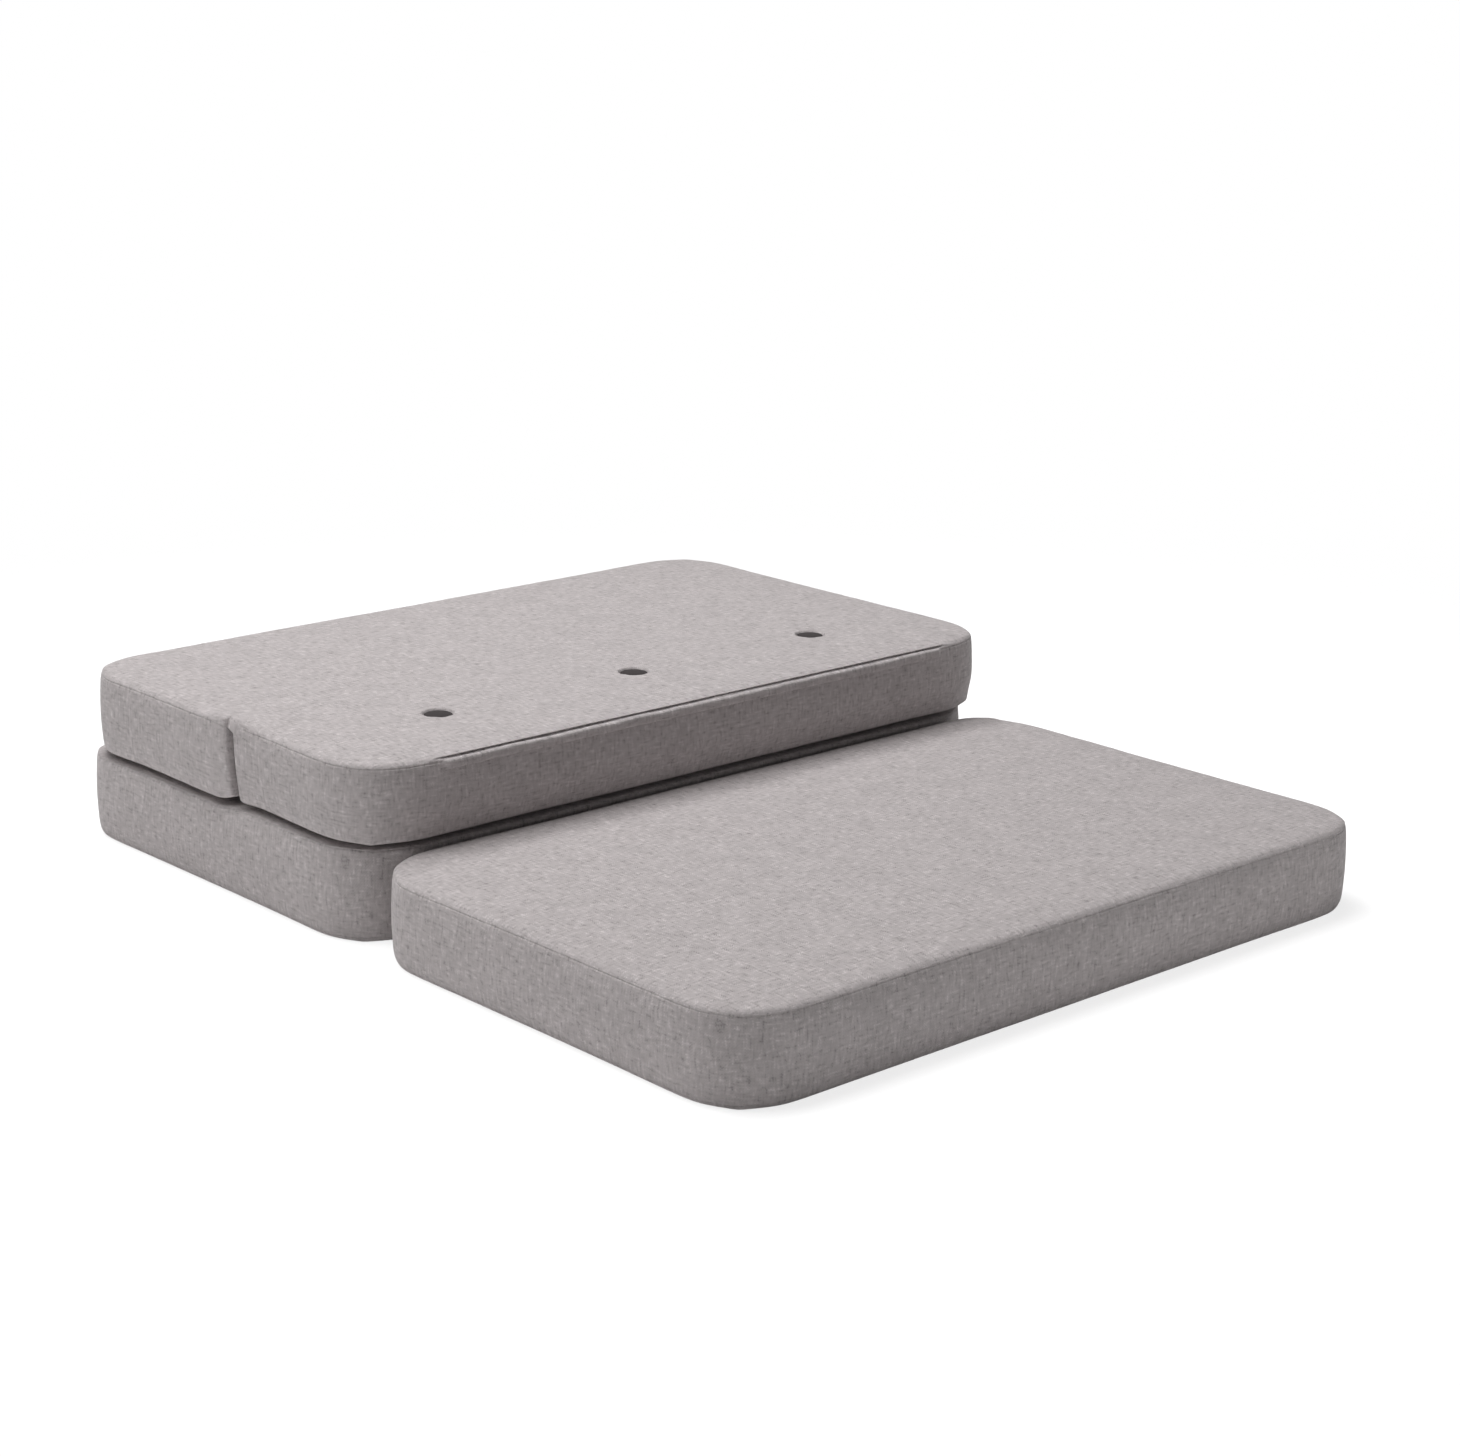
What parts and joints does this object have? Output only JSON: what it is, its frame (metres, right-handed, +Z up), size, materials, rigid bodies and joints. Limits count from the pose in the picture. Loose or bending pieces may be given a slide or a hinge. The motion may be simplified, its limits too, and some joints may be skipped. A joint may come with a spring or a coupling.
{
  "type": "folding foam sofa",
  "caption": "Legless foam sofa that folds: fabric-covered foam layers joined by sewn webs, with a split, button-tufted top layer and zipped covers.",
  "frame": {"origin": "on the floor, below the middle of the closed sofa's bounding box, where the front panel meets the base", "axes": "+X along the sofa's long side, +Y to the rear, from the front panel towards the stacked layers, +Z up"},
  "size_m": [1.2, 1.4842, 0.2595],
  "materials": {
    "cover_fabric": "matte",
    "foam": "matte",
    "hinge_web": "matte",
    "zip_tape": "matte",
    "zip_slider": "satin",
    "button": "matte",
    "twine": "matte",
    "anchor_disc": "satin"
  },
  "bodies": {
    "base": {"base_cover": "cover_fabric", "base_foam": "foam", "base_zip_upper_tape": "zip_tape", "base_zip_lower_tape": "zip_tape", "front_web_base_half": "hinge_web", "rear_web_base_half": "hinge_web"},
    "front_panel": {"front_panel_cover": "cover_fabric", "front_panel_foam": "foam", "front_panel_zip_upper_tape": "zip_tape", "front_panel_zip_lower_tape": "zip_tape", "front_web_panel_half": "hinge_web"},
    "rear_section": {"rear_section_cover": "cover_fabric", "rear_section_foam": "foam", "rear_section_zip_upper_tape": "zip_tape", "rear_section_zip_lower_tape": "zip_tape", "rear_web_section_half": "hinge_web", "top_web_rear_half": "cover_fabric"},
    "button_section": {"button_section_cover": "cover_fabric", "button_section_foam": "foam", "button_section_zip_upper_tape": "zip_tape", "button_section_zip_lower_tape": "zip_tape", "button_section_zip_flap": "cover_fabric", "top_web_front_half": "cover_fabric", "left_button": "button", "middle_button": "button", "right_button": "button", "left_twine": "twine", "middle_twine": "twine", "right_twine": "twine", "left_twine_anchor": "anchor_disc", "middle_twine_anchor": "anchor_disc", "right_twine_anchor": "anchor_disc"},
    "base_slider": {"base_zip_slider": "zip_slider"},
    "front_panel_slider": {"front_panel_zip_slider": "zip_slider"},
    "rear_section_slider": {"rear_section_zip_slider": "zip_slider"},
    "button_section_slider": {"button_section_zip_slider": "zip_slider"}
  },
  "joints": [
    {"name": "front_fold", "type": "hinge", "parent": "base", "child": "front_panel", "pos_m": [0, -0.0006, -0.0003], "axis": [1, 0, 0], "range_deg": [0, 180]},
    {"name": "rear_fold", "type": "hinge", "parent": "base", "child": "rear_section", "pos_m": [0, 0.7314, 0.12615], "axis": [-1, 0, 0], "range_deg": [0, 180]},
    {"name": "section_fold", "type": "hinge", "parent": "rear_section", "child": "button_section", "pos_m": [0, 0.3089, 0.2598], "axis": [-1, 0, 0], "range_deg": [0, 180]},
    {"name": "base_zip", "type": "slide", "parent": "base", "child": "base_slider", "axis": [-1, 0, 0], "range_m": [0, 0.912]},
    {"name": "front_panel_zip", "type": "slide", "parent": "front_panel", "child": "front_panel_slider", "axis": [-1, 0, 0], "range_m": [0, 0.912]},
    {"name": "rear_section_zip", "type": "slide", "parent": "rear_section", "child": "rear_section_slider", "axis": [-1, 0, 0], "range_m": [0, 0.912]},
    {"name": "button_section_zip", "type": "slide", "parent": "button_section", "child": "button_section_slider", "axis": [-1, 0, 0], "range_m": [0, 0.912]}
  ]
}
